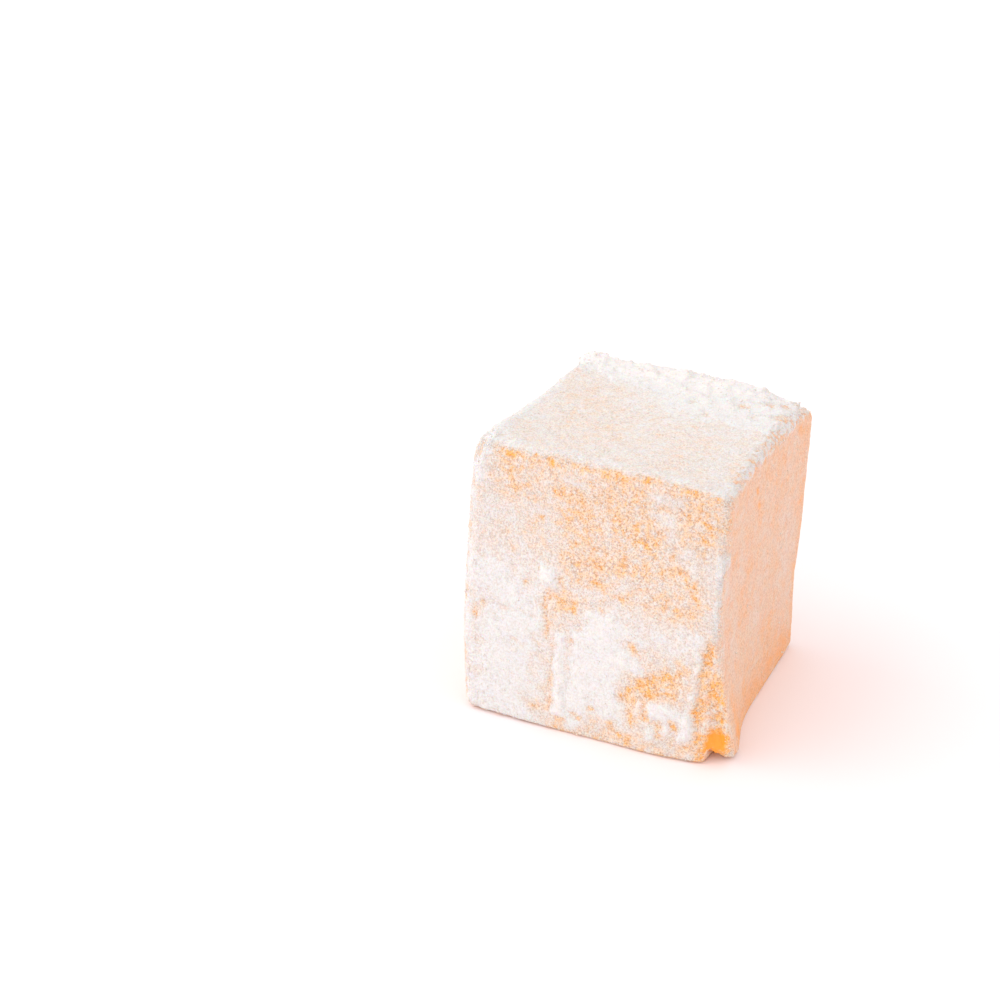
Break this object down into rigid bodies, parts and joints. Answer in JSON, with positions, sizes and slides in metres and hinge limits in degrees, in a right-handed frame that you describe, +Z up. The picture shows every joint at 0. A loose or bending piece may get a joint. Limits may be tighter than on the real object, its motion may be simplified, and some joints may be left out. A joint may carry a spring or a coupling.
{
  "type": "turkish delight cube",
  "caption": "Soft jelly sweet cut as a cube, with bowed faces, unevenly rounded edges, slumped top corners and one spread, torn foot, under a coat of fine white powder.",
  "frame": {"origin": "on the table the piece stands on, at the middle of its bounding box", "axes": "+Z up; the most visible cut face looks along -Y; +X runs to the right along that face"},
  "size_m": [0.0292, 0.029, 0.0294],
  "materials": {
    "powdered_jelly": "matte: fine white powder over pale orange translucent jelly"
  },
  "bodies": {
    "root": {"turkish_delight": "powdered_jelly"}
  },
  "joints": []
}
